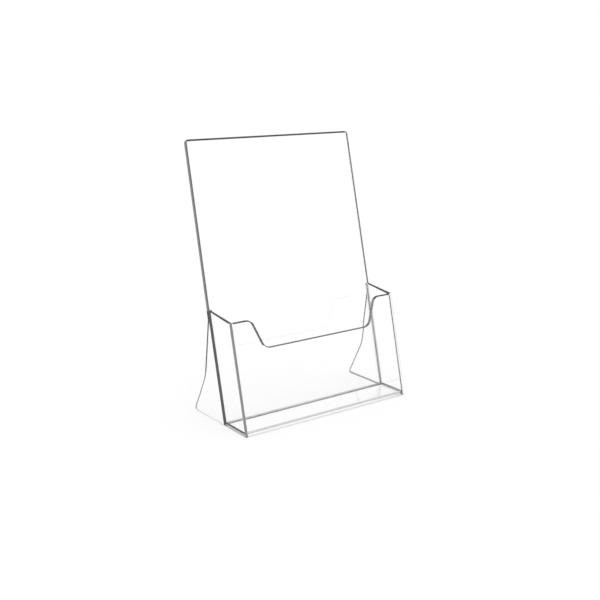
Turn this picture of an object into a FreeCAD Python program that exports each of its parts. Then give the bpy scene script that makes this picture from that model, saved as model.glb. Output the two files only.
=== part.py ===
"""Countertop magazine holder made of five clear acrylic sheets, cemented edge to face.

Frame: +X to the right, +Y to the back, +Z up, in millimetres. The origin lies on the table, midway
between the two sides and midway between the front edge and the overhanging top of the back panel.
"""

import FreeCAD, Part
import Sketcher

import math
import os

SIZES = {
    # the stock: one sheet for the pocket and legs, a stiffer one for the tall back
    "sheet_thickness": "3",
    "back_thickness": "5",
    # the whole holder
    "overall_width": "226",
    "lean_angle": "13.4",
    # back panel, measured up its front face from the table; it narrows a little towards its top
    "back_length": "313",
    "back_top_inset": "1.8",
    "back_corner_radius": "4",
    # front panel, measured up its front face from the table
    "front_length": "122.6",
    "cutout_top_width": "171",
    "cutout_bottom_width": "145",
    "cutout_depth": "32.6",
    "cutout_corner_radius": "10",
    # the pocket, square to its two leaning walls
    "pocket_gap": "36.4",
    # side panels: where their top edge meets the back panel, measured up its front face
    "side_back_length": "127.6",
    # side panels: the legs, measured from the holder's front edge and the table
    "leg_start_drop": "10",
    "leg_bend_reach": "82.2",
    "leg_bend_height": "45.6",
    "leg_bend_radius": "50",
    "foot_reach": "107",
    "foot_radius": "3",
}

SHEET = "Sizes.sheet_thickness"
BACK_SHEET = "Sizes.back_thickness"
SIN = "sin(Sizes.lean_angle)"
COS = "cos(Sizes.lean_angle)"
TAN = "tan(Sizes.lean_angle)"
INNER_WIDTH = f"(Sizes.overall_width - 2 * {SHEET})"
# depth of a leaning sheet at table level, and distance from the front edge to the back panel's face there
LEVEL_SHEET = f"({SHEET} / {COS})"
BACK_START = f"(({SHEET} + Sizes.pocket_gap) / {COS})"
OVERALL_DEPTH = f"({BACK_START} + Sizes.back_length * {SIN} + {BACK_SHEET} * {COS})"
FRONT_EDGE_Y = f"(-{OVERALL_DEPTH} / 2)"

doc = FreeCAD.newDocument("MagazineHolder")


def make_sheet():
    """The spreadsheet that every size is read from."""
    sheet = doc.addObject("Spreadsheet::Sheet", "Sizes")
    for row, (alias, value) in enumerate(SIZES.items(), start=1):
        sheet.set(f"A{row}", alias.replace("_", " "))
        sheet.set(f"B{row}", value)
        sheet.setAlias(f"B{row}", alias)
    doc.recompute()
    return sheet


SHEET_OF_SIZES = make_sheet()


def value_of(expression):
    """The number that an expression in the spreadsheet's sizes comes to."""
    return float(SHEET_OF_SIZES.evalExpression(expression))


def make_body(label, x="0", y=FRONT_EDGE_Y, lean="0"):
    """An empty body whose origin is placed by expressions and leans back about the X axis."""
    body = doc.addObject("PartDesign::Body", label)
    body.Label = label
    start = FreeCAD.Vector(value_of(x), value_of(y), 0)
    body.Placement = FreeCAD.Placement(start, FreeCAD.Rotation(FreeCAD.Vector(1, 0, 0), -value_of(lean)))
    body.setExpression(".Placement.Base.x", x)
    body.setExpression(".Placement.Base.y", y)
    if lean != "0":
        body.setExpression(".Placement.Rotation.Angle", f"-({lean})")
    return body


def make_sketch(body, role, name):
    """A sketch on one of the body's own origin planes."""
    sketch = body.newObject("Sketcher::SketchObject", name)
    plane = next(item for item in body.Origin.OriginFeatures if item.Role == role)
    sketch.AttachmentSupport = [(plane, "")]
    sketch.MapMode = "FlatFace"
    return sketch


def rounding(before, corner, after, radius):
    """Tangent points and centre of the arc that rounds a corner between two straight edges."""
    to_before = (before - corner).normalize()
    to_after = (after - corner).normalize()
    half_angle = to_before.getAngle(to_after) / 2
    setback = radius / math.tan(half_angle)
    centre = corner + (to_before + to_after).normalize() * (radius / math.sin(half_angle))
    return corner + to_before * setback, corner + to_after * setback, centre


def arc_between(start, end, centre, radius):
    """The short arc from one point to the other, and which of its ends lies at the start point."""
    circle = Part.Circle(centre, FreeCAD.Vector(0, 0, 1), radius)
    first = math.atan2(start.y - centre.y, start.x - centre.x)
    last = math.atan2(end.y - centre.y, end.x - centre.x)
    if (last - first) % (2 * math.pi) < math.pi:
        return Part.ArcOfCircle(circle, first, last), 1
    return Part.ArcOfCircle(circle, last, first), 2


def place_point(sketch, geometry, end, x, y):
    """Ties a point of the sketch to the sketch's origin by two expressions; zero puts it on the axis."""
    for kind, expression, axis in (("DistanceX", x, -2), ("DistanceY", y, -1)):
        if expression == "0":
            sketch.addConstraint(Sketcher.Constraint("PointOnObject", geometry, end, axis))
            continue
        distance = Sketcher.Constraint(kind, -1, 1, geometry, end, value_of(expression))
        number = sketch.addConstraint(distance)
        sketch.setExpression(f"Constraints[{number}]", expression)


def draw_outline(sketch, corners):
    """Draws a closed outline through corners given as expressions (x, y, radius or None when sharp)."""
    points = [FreeCAD.Vector(value_of(x), value_of(y), 0) for x, y, _ in corners]
    arrivals, departures, arcs = [], [], []
    for number, (point, corner) in enumerate(zip(points, corners)):
        arrival = departure = point
        arc = None
        if corner[2]:
            radius = value_of(corner[2])
            following = points[(number + 1) % len(points)]
            arrival, departure, centre = rounding(points[number - 1], point, following, radius)
            arc = arc_between(arrival, departure, centre, radius)
        arrivals.append(arrival)
        departures.append(departure)
        arcs.append(arc)
    edges = [
        sketch.addGeometry(Part.LineSegment(departures[number - 1], arrivals[number]))
        for number in range(len(points))
    ]
    for number, (x, y, radius) in enumerate(corners):
        edge_in = edges[number]
        edge_out = edges[(number + 1) % len(edges)]
        if not radius:
            sketch.addConstraint(Sketcher.Constraint("Coincident", edge_in, 2, edge_out, 1))
            place_point(sketch, edge_in, 2, x, y)
            continue
        curve, near_end = arcs[number]
        arc = sketch.addGeometry(curve)
        sketch.addConstraint(Sketcher.Constraint("Tangent", edge_in, 2, arc, near_end))
        sketch.addConstraint(Sketcher.Constraint("Tangent", edge_out, 1, arc, 3 - near_end))
        size = sketch.addConstraint(Sketcher.Constraint("Radius", arc, value_of(radius)))
        sketch.setExpression(f"Constraints[{size}]", radius)
        corner = sketch.addGeometry(Part.Point(points[number]), True)
        sketch.addConstraint(Sketcher.Constraint("PointOnObject", corner, 1, edge_in))
        sketch.addConstraint(Sketcher.Constraint("PointOnObject", corner, 1, edge_out))
        place_point(sketch, corner, 1, x, y)


def mirrored(half_outline):
    """The whole outline of a plate that is symmetric about x = 0, from its right half, bottom to top."""
    left_half = [(f"-({x})", y, radius) for x, y, radius in reversed(half_outline)]
    return list(half_outline) + left_half


def make_pad(body, sketch, length, side_type="One side", backwards=False):
    """Pads a sketch by an expression, along the sketch's normal or against it."""
    pad = body.newObject("PartDesign::Pad", "Pad")
    pad.Profile = sketch
    pad.SideType = side_type
    pad.Reversed = backwards
    pad.Length = value_of(length)
    pad.setExpression("Length", length)
    return pad


def bevel_foot(body, thickness):
    """Cuts the lower end of a leaning plate level, so that it stands flat on the table."""
    cutter = make_sketch(body, "YZ_Plane", "LevelCut")
    before = f"-{thickness}"
    behind = f"2 * {thickness}"
    low = f"-{thickness} * {TAN}"
    high = f"2 * {thickness} * {TAN}"
    draw_outline(cutter, [(before, low, None), (behind, high, None), (behind, low, None)])
    square_cut_volume = body.Shape.Volume
    cut = body.newObject("PartDesign::Pocket", "Pocket")
    cut.Profile = cutter
    cut.SideType = "Symmetric"
    cut.setExpression("Length", "2 * Sizes.overall_width")
    doc.recompute()
    if not cut.Shape.Volume < square_cut_volume:
        raise RuntimeError(f"{body.Label}: the level cut removed nothing")


def make_leaning_plate(label, start, thickness, half_outline):
    """A sheet that leans back from the table, drawn on its front face and thickened backwards."""
    body = make_body(label, y=f"{FRONT_EDGE_Y} + {start}", lean="Sizes.lean_angle")
    sketch = make_sketch(body, "XZ_Plane", "Outline")
    draw_outline(sketch, mirrored(half_outline))
    make_pad(body, sketch, thickness, backwards=True)
    doc.recompute()
    bevel_foot(body, thickness)
    return body


def make_back_panel():
    """The tall back: a tongue between the sides, and shoulders that sit on their top edges."""
    half_tongue = f"{INNER_WIDTH} / 2"
    return make_leaning_plate("back_panel", BACK_START, BACK_SHEET, [
        (half_tongue, "0", None),
        (half_tongue, "Sizes.side_back_length", None),
        ("Sizes.overall_width / 2", "Sizes.side_back_length", None),
        ("Sizes.overall_width / 2 - Sizes.back_top_inset", "Sizes.back_length", "Sizes.back_corner_radius"),
    ])


def make_front_panel():
    """The pocket's front wall, with the U-shaped hand cut-out in its top edge."""
    half_width = f"{INNER_WIDTH} / 2"
    cutout_floor = "Sizes.front_length - Sizes.cutout_depth"
    return make_leaning_plate("front_panel", "0", SHEET, [
        (half_width, "0", None),
        (half_width, "Sizes.front_length", None),
        ("Sizes.cutout_top_width / 2", "Sizes.front_length", "Sizes.cutout_corner_radius"),
        ("Sizes.cutout_bottom_width / 2", cutout_floor, "Sizes.cutout_corner_radius"),
    ])


def make_pocket_floor():
    """The pocket's bottom, lying on the table, with its two long edges cut to meet the leaning walls."""
    body = make_body("pocket_floor")
    sketch = make_sketch(body, "YZ_Plane", "Section")
    rise_shift = f"{SHEET} * {TAN}"
    draw_outline(sketch, [
        (LEVEL_SHEET, "0", None),
        (BACK_START, "0", None),
        (f"{BACK_START} + {rise_shift}", SHEET, None),
        (f"{LEVEL_SHEET} + {rise_shift}", SHEET, None),
    ])
    make_pad(body, sketch, INNER_WIDTH, side_type="Symmetric")
    return body


def on_back_panel(length, depth="0"):
    """Side view position of a point on the back panel, up its front face and into its thickness."""
    y = f"{BACK_START} + ({length}) * {SIN} + ({depth}) * {COS}"
    z = f"({length}) * {COS} - ({depth}) * {SIN}"
    return y, z


def make_side_panel(label, x):
    """A pocket side and rear leg in one plate, which covers the ends of the two walls and the floor."""
    body = make_body(label, x=x)
    sketch = make_sketch(body, "YZ_Plane", "Profile")
    leg_start = "Sizes.side_back_length - Sizes.leg_start_drop"
    draw_outline(sketch, [
        ("0", "0", None),
        (f"Sizes.front_length * {SIN}", f"Sizes.front_length * {COS}", None),
        (*on_back_panel("Sizes.side_back_length"), None),
        (*on_back_panel("Sizes.side_back_length", BACK_SHEET), None),
        (*on_back_panel(leg_start, BACK_SHEET), None),
        ("Sizes.leg_bend_reach", "Sizes.leg_bend_height", "Sizes.leg_bend_radius"),
        ("Sizes.foot_reach", "0", "Sizes.foot_radius"),
    ])
    make_pad(body, sketch, SHEET)
    return body


def check_document(bodies):
    """Stops the build if any object failed, any sketch is loose or any sheet is not one valid solid."""
    for item in doc.Objects:
        if "Invalid" in item.State or "Error" in item.State:
            raise RuntimeError(f"{item.Name} did not build: {item.State}")
        if item.TypeId == "Sketcher::SketchObject" and not item.FullyConstrained:
            raise RuntimeError(f"{item.Name} is not fully constrained")
    for body in bodies:
        shape = body.Shape
        if shape.isNull() or not shape.isValid() or len(shape.Solids) != 1:
            raise RuntimeError(f"{body.Label} is not one valid solid")


def main():
    bodies = [
        make_back_panel(),
        make_front_panel(),
        make_pocket_floor(),
        make_side_panel("left_side_panel", "-Sizes.overall_width / 2"),
        make_side_panel("right_side_panel", f"Sizes.overall_width / 2 - {SHEET}"),
    ]
    doc.recompute()
    check_document(bodies)
    os.makedirs("parts", exist_ok=True)
    for body in bodies:
        body.Shape.exportStep(f"parts/{body.Label}.step")
        box = body.Shape.BoundBox
        print(f"{body.Label}: {body.Shape.Volume / 1000:.1f} cm3,"
              f" x {box.XMin:.1f} to {box.XMax:.1f}, y {box.YMin:.1f} to {box.YMax:.1f},"
              f" z {box.ZMin:.1f} to {box.ZMax:.1f}")


main()
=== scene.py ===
"""Clear acrylic magazine holder: five polished sheets, beads of cement between them, a white studio."""
import math
from collections import namedtuple

import bmesh
import bpy
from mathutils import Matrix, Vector
from mathutils.bvhtree import BVHTree


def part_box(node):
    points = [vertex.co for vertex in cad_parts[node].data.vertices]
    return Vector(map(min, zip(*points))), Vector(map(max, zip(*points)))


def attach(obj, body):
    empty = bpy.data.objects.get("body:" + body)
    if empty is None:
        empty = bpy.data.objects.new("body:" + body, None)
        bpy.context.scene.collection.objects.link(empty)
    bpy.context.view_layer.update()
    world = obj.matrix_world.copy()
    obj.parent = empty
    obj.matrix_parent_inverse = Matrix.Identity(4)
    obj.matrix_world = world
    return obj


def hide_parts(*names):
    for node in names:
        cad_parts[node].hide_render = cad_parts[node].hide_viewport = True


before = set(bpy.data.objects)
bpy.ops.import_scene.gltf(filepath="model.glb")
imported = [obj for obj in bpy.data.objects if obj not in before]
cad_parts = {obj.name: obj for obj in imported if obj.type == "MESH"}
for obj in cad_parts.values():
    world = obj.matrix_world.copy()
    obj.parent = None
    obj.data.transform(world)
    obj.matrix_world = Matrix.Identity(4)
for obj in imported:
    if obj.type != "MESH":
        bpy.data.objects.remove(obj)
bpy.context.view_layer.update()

MILLIMETRE = 0.001

# camera; the flat of a sheet that counts as towards it faces CAMERA_SIDE
CAMERA_AZIMUTH = math.radians(-36.30)
CAMERA_ELEVATION = math.radians(14.26)
CAMERA_DISTANCE = 1.068
CAMERA_AIM = Vector((0.0, -0.0016, 0.1217))
CAMERA_LENS = 56.22
CAMERA_SIDE = Vector((-1.0, -1.0, 1.0))

# studio: what the sky and the sun give, and how much of what the eye sees on the floor is lit, not glow
SKY_LIGHT = 0.8
SUN_LIGHT = 0.7
SUN_SPREAD = math.radians(70)
SUN_SIDE = Vector((0.2, -0.3, 1.0))
FLOOR_WHITE = 0.8
FLOOR_SHADE = 0.2
FLOOR_GLOW = 0.85
FLOOR_REACH = 30.0
WHITE = (1.0, 1.0, 1.0, 1.0)

# acrylic: how much it bends light, and the roughness that its faces and its cut edges wander over
ACRYLIC_IOR = 1.49
FACE_ROUGHNESS = (0.0, 0.03)
EDGE_ROUGHNESS = (0.15, 0.3)
EDGE_GLOSS = 0.2

# painted shade: greys that stand in for the light and shade that clear cut edges and cement show, the mirror
# tones on metal; the grey wanders over each range with noise
PAINTED_SHADE_TONES = {
    "white": (0.84, 0.94),
    "faint": (0.64, 0.74),
    "pale": (0.46, 0.56),
    "mid": (0.24, 0.34),
    "grey": (0.13, 0.20),
    "dark": (0.04, 0.08),
    "black": (0.0, 0.02),
    "bright": (0.90, 0.98),
    "silver": (0.66, 0.78),
}
# tones of seams that turn all light back, as a mirror does
MIRRORS = ("bright", "silver")
MATERIAL_ORDER = ["clear", *PAINTED_SHADE_TONES]

# each sheet's cut edges by the way they face, each with a painted shade of its own: painted tone and
# rounding in millimetres of the border on the flat towards the camera, painted tone of the cut, painted tone
# and rounding of the border on the other flat. "clear" means like the flats. A cut that is cemented to
# another sheet is listed apart, and so is one low on its sheet.
EDGES = {
    "back_panel": {
        "up": ("dark", 1.85, "dark", "dark", 1.85),
        "left": ("grey", 1.0, "mid", "grey", 1.0),
        "right": ("grey", 0.2, "mid", "mid", 0.1),
        "down": ("mid", 0.2, "pale", "mid", 0.2),
        "cemented left": ("dark", 0.3, "black", "dark", 0.3),
        "cemented right": ("grey", 0.1, "bright", "bright", 0.1),
        "cemented down": ("pale", 0.2, "bright", "pale", 0.2),
    },
    "front_panel": {
        "up": ("dark", 1.6, "dark", "grey", 0.6),
        "low up": ("grey", 1.4, "grey", "grey", 0.6),
        "left": ("mid", 1.6, "mid", "grey", 0.8),
        "right": ("mid", 0.2, "mid", "mid", 1.7),
        "down": ("clear", 0.1, "faint", "clear", 0.1),
        "cemented left": ("bright", 0.1, "bright", "bright", 0.1),
        "cemented right": ("mid", 0.1, "mid", "bright", 0.1),
    },
    "pocket_floor": {
        "cemented front": ("mid", 0.4, "clear", "bright", 0.1),
        "cemented back": ("dark", 0.6, "grey", "grey", 0.6),
        "cemented left": ("dark", 0.5, "silver", "dark", 0.6),
        "cemented right": ("pale", 0.3, "faint", "faint", 0.3),
    },
    "left_side_panel": {
        "up": ("dark", 1.2, "dark", "grey", 0.6),
        "front": ("mid", 0.3, "mid", "mid", 0.3),
        "back": ("grey", 0.2, "dark", "dark", 0.8),
        "low back": ("grey", 0.2, "grey", "grey", 0.2),
        "down": ("mid", 0.3, "bright", "faint", 0.3),
        "cemented up": ("pale", 0.2, "bright", "pale", 0.2),
    },
    "right_side_panel": {
        "up": ("dark", 1.6, "dark", "dark", 0.6),
        "front": ("faint", 0.3, "bright", "faint", 0.3),
        "back": ("grey", 1.0, "grey", "grey", 0.8),
        "down": ("dark", 0.8, "mid", "faint", 1.8),
        "cemented up": ("pale", 0.2, "bright", "pale", 0.2),
    },
}
# beads of cement in inner corners, by sheet and cemented cut: width in millimetres and painted shade of the
# half that lies on this sheet's flat, then of the half that lies on its neighbour
BEADS = {
    ("back_panel", "cemented left"): (1.0, "dark", 0.7, "dark"),
    ("back_panel", "cemented right"): (1.0, "mid", 2.3, "white"),
    ("pocket_floor", "cemented left"): (1.5, "grey", 2.0, "dark"),
    ("pocket_floor", "cemented right"): (0.6, "white", 2.1, "mid"),
    ("pocket_floor", "cemented back"): (1.0, "faint", 1.3, "white"),
    ("pocket_floor", "cemented front"): (1.6, "silver", 2.0, "silver"),
}
# share of a sheet's height below which an edge takes its "low" row, with a painted shade of its own
LOW_SHARE = {"front_panel": 0.8, "left_side_panel": 0.42}

# metres: where a rounding starts to narrow before a sharp corner, how near a cemented neighbour is, and how
# far a cemented cut reaches into it, so that no air is left between them
NARROWING = 0.003
TOUCHING = 0.0002
CEMENT_BITE = 0.00005
ROUNDING_STEPS = 4
# cosines: two runs of an outline in one line, and two that a curve joins
STRAIGHT = 0.99999
SMOOTH = math.cos(math.radians(25))
# what counts as one corner, in metres, and as one flat when a packed sheet's outline is read
ONE_CORNER = 1e-6
ONE_FLAT = math.radians(0.5)
FLOOR_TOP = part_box("pocket_floor")[1][2]

# one place where a sheet's rounded section is drawn: a corner of each flat, the way in, the two roundings
# and the edge that runs on from it
Station = namedtuple("Station", "near far inwards roundings edge")


def tree_for(datablock):
    """An empty node tree on a material or world."""
    datablock.use_nodes = True
    datablock.node_tree.nodes.clear()
    return datablock.node_tree


def node(tree, kind, **sockets):
    """A new node with its input sockets set by name."""
    made = tree.nodes.new(kind)
    for name, value in sockets.items():
        made.inputs[name.replace("_", " ")].default_value = value
    return made


def noise(tree, scale, detail):
    """Cloudy noise over the object's own coordinates."""
    place = node(tree, "ShaderNodeTexCoord")
    cloud = node(tree, "ShaderNodeTexNoise", Scale=scale, Detail=detail)
    tree.links.new(place.outputs["Object"], cloud.inputs["Vector"])
    return cloud.outputs["Fac"]


def spread(tree, value, low, high):
    """Maps a 0 to 1 value to the range from low to high."""
    made = node(tree, "ShaderNodeMapRange", To_Min=low, To_Max=high)
    tree.links.new(value, made.inputs["Value"])
    return made.outputs["Result"]


def end_tree(tree, kind, result):
    """Ends a node tree in its output node."""
    output = node(tree, kind)
    tree.links.new(result, output.inputs["Surface"])


def clear_material():
    """The two faces of a cast sheet: clear, with a faint variation of its polish."""
    material = bpy.data.materials.new("clear_faces")
    tree = tree_for(material)
    shader = node(tree, "ShaderNodeBsdfPrincipled", IOR=ACRYLIC_IOR, Base_Color=WHITE)
    shader.inputs["Transmission Weight"].default_value = 1.0
    polish = noise(tree, scale=45.0, detail=4.0)
    tree.links.new(spread(tree, polish, *FACE_ROUGHNESS), shader.inputs["Roughness"])
    end_tree(tree, "ShaderNodeOutputMaterial", shader.outputs["BSDF"])
    return material


def edge_material(tone):
    """A polished cut edge: glossy, its colour a painted shade of grey (a metallic mirror for the mirror
    tones) that wanders with cloudy noise, with the ripple that flame polishing leaves.
    """
    material = bpy.data.materials.new(f"{tone}_edge")
    tree = tree_for(material)
    shader = node(tree, "ShaderNodeBsdfPrincipled", IOR=ACRYLIC_IOR, Specular_IOR_Level=EDGE_GLOSS)
    shader.inputs["Metallic"].default_value = float(tone in MIRRORS)
    # the painted shade of this edge, for the light and shade that a clear edge shows
    painted_shade = spread(tree, noise(tree, scale=120.0, detail=3.0), *PAINTED_SHADE_TONES[tone])
    colour = node(tree, "ShaderNodeCombineColor")
    for channel in ("Red", "Green", "Blue"):
        tree.links.new(painted_shade, colour.inputs[channel])
    tree.links.new(colour.outputs["Color"], shader.inputs["Base Color"])
    ripple = noise(tree, scale=700.0, detail=2.0)
    tree.links.new(spread(tree, ripple, *EDGE_ROUGHNESS), shader.inputs["Roughness"])
    bump = node(tree, "ShaderNodeBump", Strength=0.2, Distance=0.0001)
    tree.links.new(ripple, bump.inputs["Height"])
    tree.links.new(bump.outputs["Normal"], shader.inputs["Normal"])
    end_tree(tree, "ShaderNodeOutputMaterial", shader.outputs["BSDF"])
    return material


def search_tree(names):
    """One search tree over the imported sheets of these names."""
    mesh = bmesh.new()
    for name in names:
        mesh.from_mesh(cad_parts[name].data)
    tree = BVHTree.FromBMesh(mesh)
    mesh.free()
    return tree


def facing(normal):
    """The way a cut edge looks, as a word."""
    axis = max(range(3), key=lambda number: abs(normal[number]))
    words = (("left", "right"), ("front", "back"), ("down", "up"))[axis]
    return words[normal[axis] > 0]


def outlines_of(name):
    """Outlines of a packed sheet's flat towards the camera and of its other flat, and the near normal."""
    shape = bmesh.new()
    shape.from_mesh(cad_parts[name].data)
    bmesh.ops.remove_doubles(shape, verts=shape.verts, dist=ONE_CORNER)
    bmesh.ops.dissolve_limit(shape, angle_limit=ONE_FLAT, verts=shape.verts, edges=shape.edges)
    flats = sorted(shape.faces, key=lambda face: face.calc_area())[-2:]
    flat = max(flats, key=lambda face: face.normal.dot(CAMERA_SIDE))
    near = [vert.co.copy() for vert in flat.verts]
    far = []
    for vert in flat.verts:
        across = next(edge for edge in vert.link_edges if flat not in edge.link_faces)
        far.append(across.other_vert(vert).co.copy())
    normal = flat.normal.copy()
    shape.free()
    return near, far, normal


def inset_step(before, after, depth_before, depth_after):
    """The step that takes a corner these depths in from its two edges, given their inward normals."""
    shared = before.dot(after)
    if shared > STRAIGHT:
        return (before + after).normalized() * (depth_before + depth_after) / 2
    from_before = before * (depth_before - shared * depth_after)
    from_after = after * (depth_after - shared * depth_before)
    return (from_before + from_after) / (1 - shared * shared)


class Edge:
    """One straight run of a sheet's outline: its inward normal, its row of EDGES and its neighbour."""

    def __init__(self, name, normal, near, far, others):
        self.inwards = normal.cross(near[1] - near[0]).normalized()
        self.length = (near[1] - near[0]).length
        middle = (near[0] + near[1] + far[0] + far[1]) / 4
        self.key = facing(-self.inwards)
        self.inset = 0.0
        neighbour = others.find_nearest(middle, TOUCHING)[1]
        if neighbour is not None:
            self.key = f"cemented {self.key}"
            self.inset = -CEMENT_BITE
            self.wall = (normal - neighbour * normal.dot(neighbour)).normalized()
        low_limit = LOW_SHARE.get(name, 0.0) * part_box(name)[1][2]
        if middle.z < low_limit and f"low {self.key}" in EDGES[name]:
            self.key = f"low {self.key}"
        # the painted shade of the near border, the cut and the far border, picked by the way the edge faces,
        # by cementing and by height
        near_tone, near_rounding, cut_tone, far_tone, far_rounding = EDGES[name][self.key]
        self.tones = near_tone, cut_tone, far_tone
        self.roundings = near_rounding * MILLIMETRE, far_rounding * MILLIMETRE


def stations_of(near, far, edges):
    """Where a sheet's section is drawn: at each corner, and on both sides of sharp ones."""
    stations = []
    count = len(edges)
    for number, edge in enumerate(edges):
        before, following = edges[number - 1], edges[(number + 1) % count]
        step = inset_step(before.inwards, edge.inwards, 1.0, 1.0)
        pairs = list(zip(before.roundings, edge.roundings))
        if before.inwards.dot(edge.inwards) > SMOOTH:
            roundings = [sum(pair) / 2 for pair in pairs]
        else:
            # the narrower border takes a sharp corner, or the wider one if a cut there is cemented
            choose = max if before.inset or edge.inset else min
            roundings = [choose(pair) for pair in pairs]
        stations.append(Station(near[number], far[number], step, roundings, edge))
        if edge.length < 3 * NARROWING:
            continue
        share = NARROWING / edge.length
        for part, neighbour in ((share, before), (1 - share, following)):
            if neighbour.inwards.dot(edge.inwards) <= SMOOTH:
                places = [side[number].lerp(side[(number + 1) % count], part) for side in (near, far)]
                stations.append(Station(*places, edge.inwards, edge.roundings, edge))
    return stations


def quarter_turn(corner, along, across):
    """Points of a curve from one side of a corner to the other side, bowed towards the corner."""
    points = []
    for number in range(ROUNDING_STEPS + 1):
        angle = math.pi / 2 * number / ROUNDING_STEPS
        points.append(corner + along * (1 - math.sin(angle)) + across * (1 - math.cos(angle)))
    return points


def object_of(shape, name, materials):
    """A finished shape as an object in the scene."""
    mesh = bpy.data.meshes.new(name)
    shape.to_mesh(mesh)
    shape.free()
    for material in materials:
        mesh.materials.append(material)
    made = bpy.data.objects.new(name, mesh)
    bpy.context.scene.collection.objects.link(made)
    return made


def piece_of(shape, name, materials):
    """A finished shape as a piece of the holder."""
    bmesh.ops.recalc_face_normals(shape, faces=shape.faces)
    piece = object_of(shape, name, materials)
    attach(piece, "root")
    return piece


def make_bead(name, edge, start, end, materials):
    """The bead of cement along an inner corner, hollow-faced, from the top of the pocket's floor upwards."""
    own_width, own_tone, wall_width, wall_tone = BEADS[name, edge.key]
    if start.z > end.z:
        start, end = end, start
    if start.z < FLOOR_TOP < end.z:
        start = start.lerp(end, (FLOOR_TOP - start.z) / (end.z - start.z))
    along_own = edge.inwards * own_width * MILLIMETRE
    along_wall = edge.wall * wall_width * MILLIMETRE
    seat = (edge.inwards + edge.wall) * -CEMENT_BITE
    shape = bmesh.new()
    rows = []
    for corner in (start + seat, end + seat):
        points = [corner, *quarter_turn(corner, along_own, along_wall)]
        rows.append([shape.verts.new(point) for point in points])
    sides = len(rows[0])
    for number in range(sides):
        following = (number + 1) % sides
        face = shape.faces.new((rows[0][number], rows[0][following], rows[1][following], rows[1][number]))
        # each half of the bead takes its painted shade
        tone = own_tone if number <= ROUNDING_STEPS / 2 else wall_tone
        face.material_index = MATERIAL_ORDER.index(tone)
        face.smooth = 0 < number <= ROUNDING_STEPS
    for row in rows:
        shape.faces.new(row).material_index = MATERIAL_ORDER.index(wall_tone)
    piece_of(shape, f"{name}_{edge.key.split()[-1]}_bead", materials)


def edges_of(name, near, far, normal):
    """The straight runs of a packed sheet's outline, in order."""
    others = search_tree([other for other in EDGES if other != name])
    edges = []
    for number in range(len(near)):
        following = (number + 1) % len(near)
        ends = (near[number], near[following]), (far[number], far[following])
        edges.append(Edge(name, normal, *ends, others))
    return edges


def reach_into_neighbours(near, far, edges):
    """Moves the corners of cemented cuts a little way into the sheets that they are cemented to."""
    for number, edge in enumerate(edges):
        before = edges[number - 1]
        step = inset_step(before.inwards, edge.inwards, before.inset, edge.inset)
        near[number] += step
        far[number] += step


def skin_over(stations):
    """The closed shape of a sheet: two flats, and between them the rounded borders and the cuts."""
    shape = bmesh.new()
    rows = []
    for station in stations:
        across = (station.far - station.near).normalized()
        near_rounding, far_rounding = station.roundings
        points = quarter_turn(station.near, station.inwards * near_rounding, across * near_rounding)
        far_side = quarter_turn(station.far, station.inwards * far_rounding, -across * far_rounding)
        points += reversed(far_side)
        rows.append([shape.verts.new(point) for point in points])
    shape.faces.new([row[0] for row in rows])
    shape.faces.new([row[-1] for row in reversed(rows)])
    for number, station in enumerate(stations):
        row, following = rows[number], rows[(number + 1) % len(rows)]
        for step in range(len(row) - 1):
            face = shape.faces.new((row[step], row[step + 1], following[step + 1], following[step]))
            # 0 on the near border, 1 on the cut and 2 on the far border, each in its painted shade
            part = (step >= ROUNDING_STEPS) + (step > ROUNDING_STEPS)
            face.material_index = MATERIAL_ORDER.index(station.edge.tones[part])
            face.smooth = step != ROUNDING_STEPS
    return shape


def make_sheet(name, materials):
    """A packed sheet drawn anew: clear faces, and cut edges with rounded borders in tones of their own."""
    near, far, normal = outlines_of(name)
    edges = edges_of(name, near, far, normal)
    for number, edge in enumerate(edges):
        if (name, edge.key) in BEADS:
            make_bead(name, edge, near[number], near[(number + 1) % len(near)], materials)
    reach_into_neighbours(near, far, edges)
    piece = piece_of(skin_over(stations_of(near, far, edges)), f"{name}_sheet", materials)
    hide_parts(name)


def white_to_sight(tree):
    """1 for rays that carry what is seen, also mirrored or through a sheet, and 0 for those that light."""
    path = node(tree, "ShaderNodeLightPath")
    total = path.outputs["Is Camera Ray"]
    for kind in ("Is Glossy Ray", "Is Transmission Ray"):
        both = node(tree, "ShaderNodeMath")
        both.operation = "MAXIMUM"
        tree.links.new(total, both.inputs[0])
        tree.links.new(path.outputs[kind], both.inputs[1])
        total = both.outputs[0]
    return total


def make_sky():
    """An even sky that looks white and lights at a plain level."""
    world = bpy.data.worlds.new("studio")
    bpy.context.scene.world = world
    tree = tree_for(world)
    background = node(tree, "ShaderNodeBackground", Color=WHITE)
    tree.links.new(spread(tree, white_to_sight(tree), SKY_LIGHT, 1.0), background.inputs["Strength"])
    end_tree(tree, "ShaderNodeOutputWorld", background.outputs["Background"])


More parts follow.
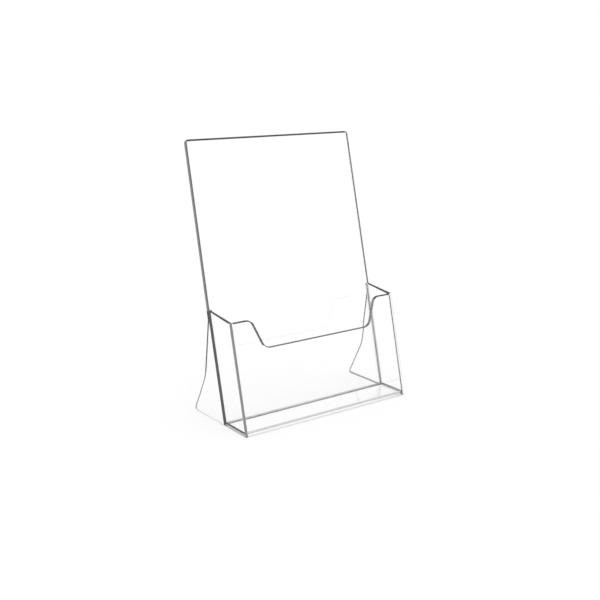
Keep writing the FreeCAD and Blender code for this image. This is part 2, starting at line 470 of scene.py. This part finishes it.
def floor_material():
    """White paper that keeps shadows, with a glow that only sight rays meet."""
    material = bpy.data.materials.new("studio_floor")
    tree = tree_for(material)
    paper = node(tree, "ShaderNodeBsdfDiffuse")
    sight = white_to_sight(tree)
    tree.links.new(spread(tree, sight, FLOOR_WHITE, FLOOR_WHITE * FLOOR_SHADE), paper.inputs["Color"])
    glow = node(tree, "ShaderNodeEmission")
    tree.links.new(spread(tree, sight, 0.0, FLOOR_GLOW), glow.inputs["Strength"])
    both = node(tree, "ShaderNodeAddShader")
    tree.links.new(paper.outputs["BSDF"], both.inputs[0])
    tree.links.new(glow.outputs["Emission"], both.inputs[1])
    end_tree(tree, "ShaderNodeOutputMaterial", both.outputs["Shader"])
    return material


def make_floor():
    """The wide white floor that the holder stands on."""
    shape = bmesh.new()
    bmesh.ops.create_grid(shape, x_segments=1, y_segments=1, size=FLOOR_REACH)
    floor = object_of(shape, "studio_floor", [floor_material()])


def make_sun():
    """A wide, even light from above, like a ceiling of soft boxes."""
    lamp = bpy.data.lights.new("soft_ceiling", "SUN")
    lamp.energy = SUN_LIGHT
    lamp.angle = SUN_SPREAD
    holder = bpy.data.objects.new("soft_ceiling", lamp)
    holder.rotation_mode = "QUATERNION"
    holder.rotation_quaternion = SUN_SIDE.to_track_quat("Z", "Y")
    bpy.context.scene.collection.objects.link(holder)


def make_camera():
    """The camera at the photo's angle, set back from the point that it aims at."""
    back = Vector((
        math.sin(CAMERA_AZIMUTH) * math.cos(CAMERA_ELEVATION),
        -math.cos(CAMERA_AZIMUTH) * math.cos(CAMERA_ELEVATION),
        math.sin(CAMERA_ELEVATION),
    ))
    data = bpy.data.cameras.new("camera")
    data.lens = CAMERA_LENS
    camera = bpy.data.objects.new("camera", data)
    camera.location = CAMERA_AIM + back * CAMERA_DISTANCE
    camera.rotation_mode = "QUATERNION"
    camera.rotation_quaternion = (-back).to_track_quat("-Z", "Y")
    bpy.context.scene.collection.objects.link(camera)
    bpy.context.scene.camera = camera


make_camera()
make_sky()
make_floor()
make_sun()
materials = [clear_material(), *(edge_material(tone) for tone in PAINTED_SHADE_TONES)]
for sheet in EDGES:
    make_sheet(sheet, materials)

bpy.context.scene.view_settings.view_transform = "Standard"
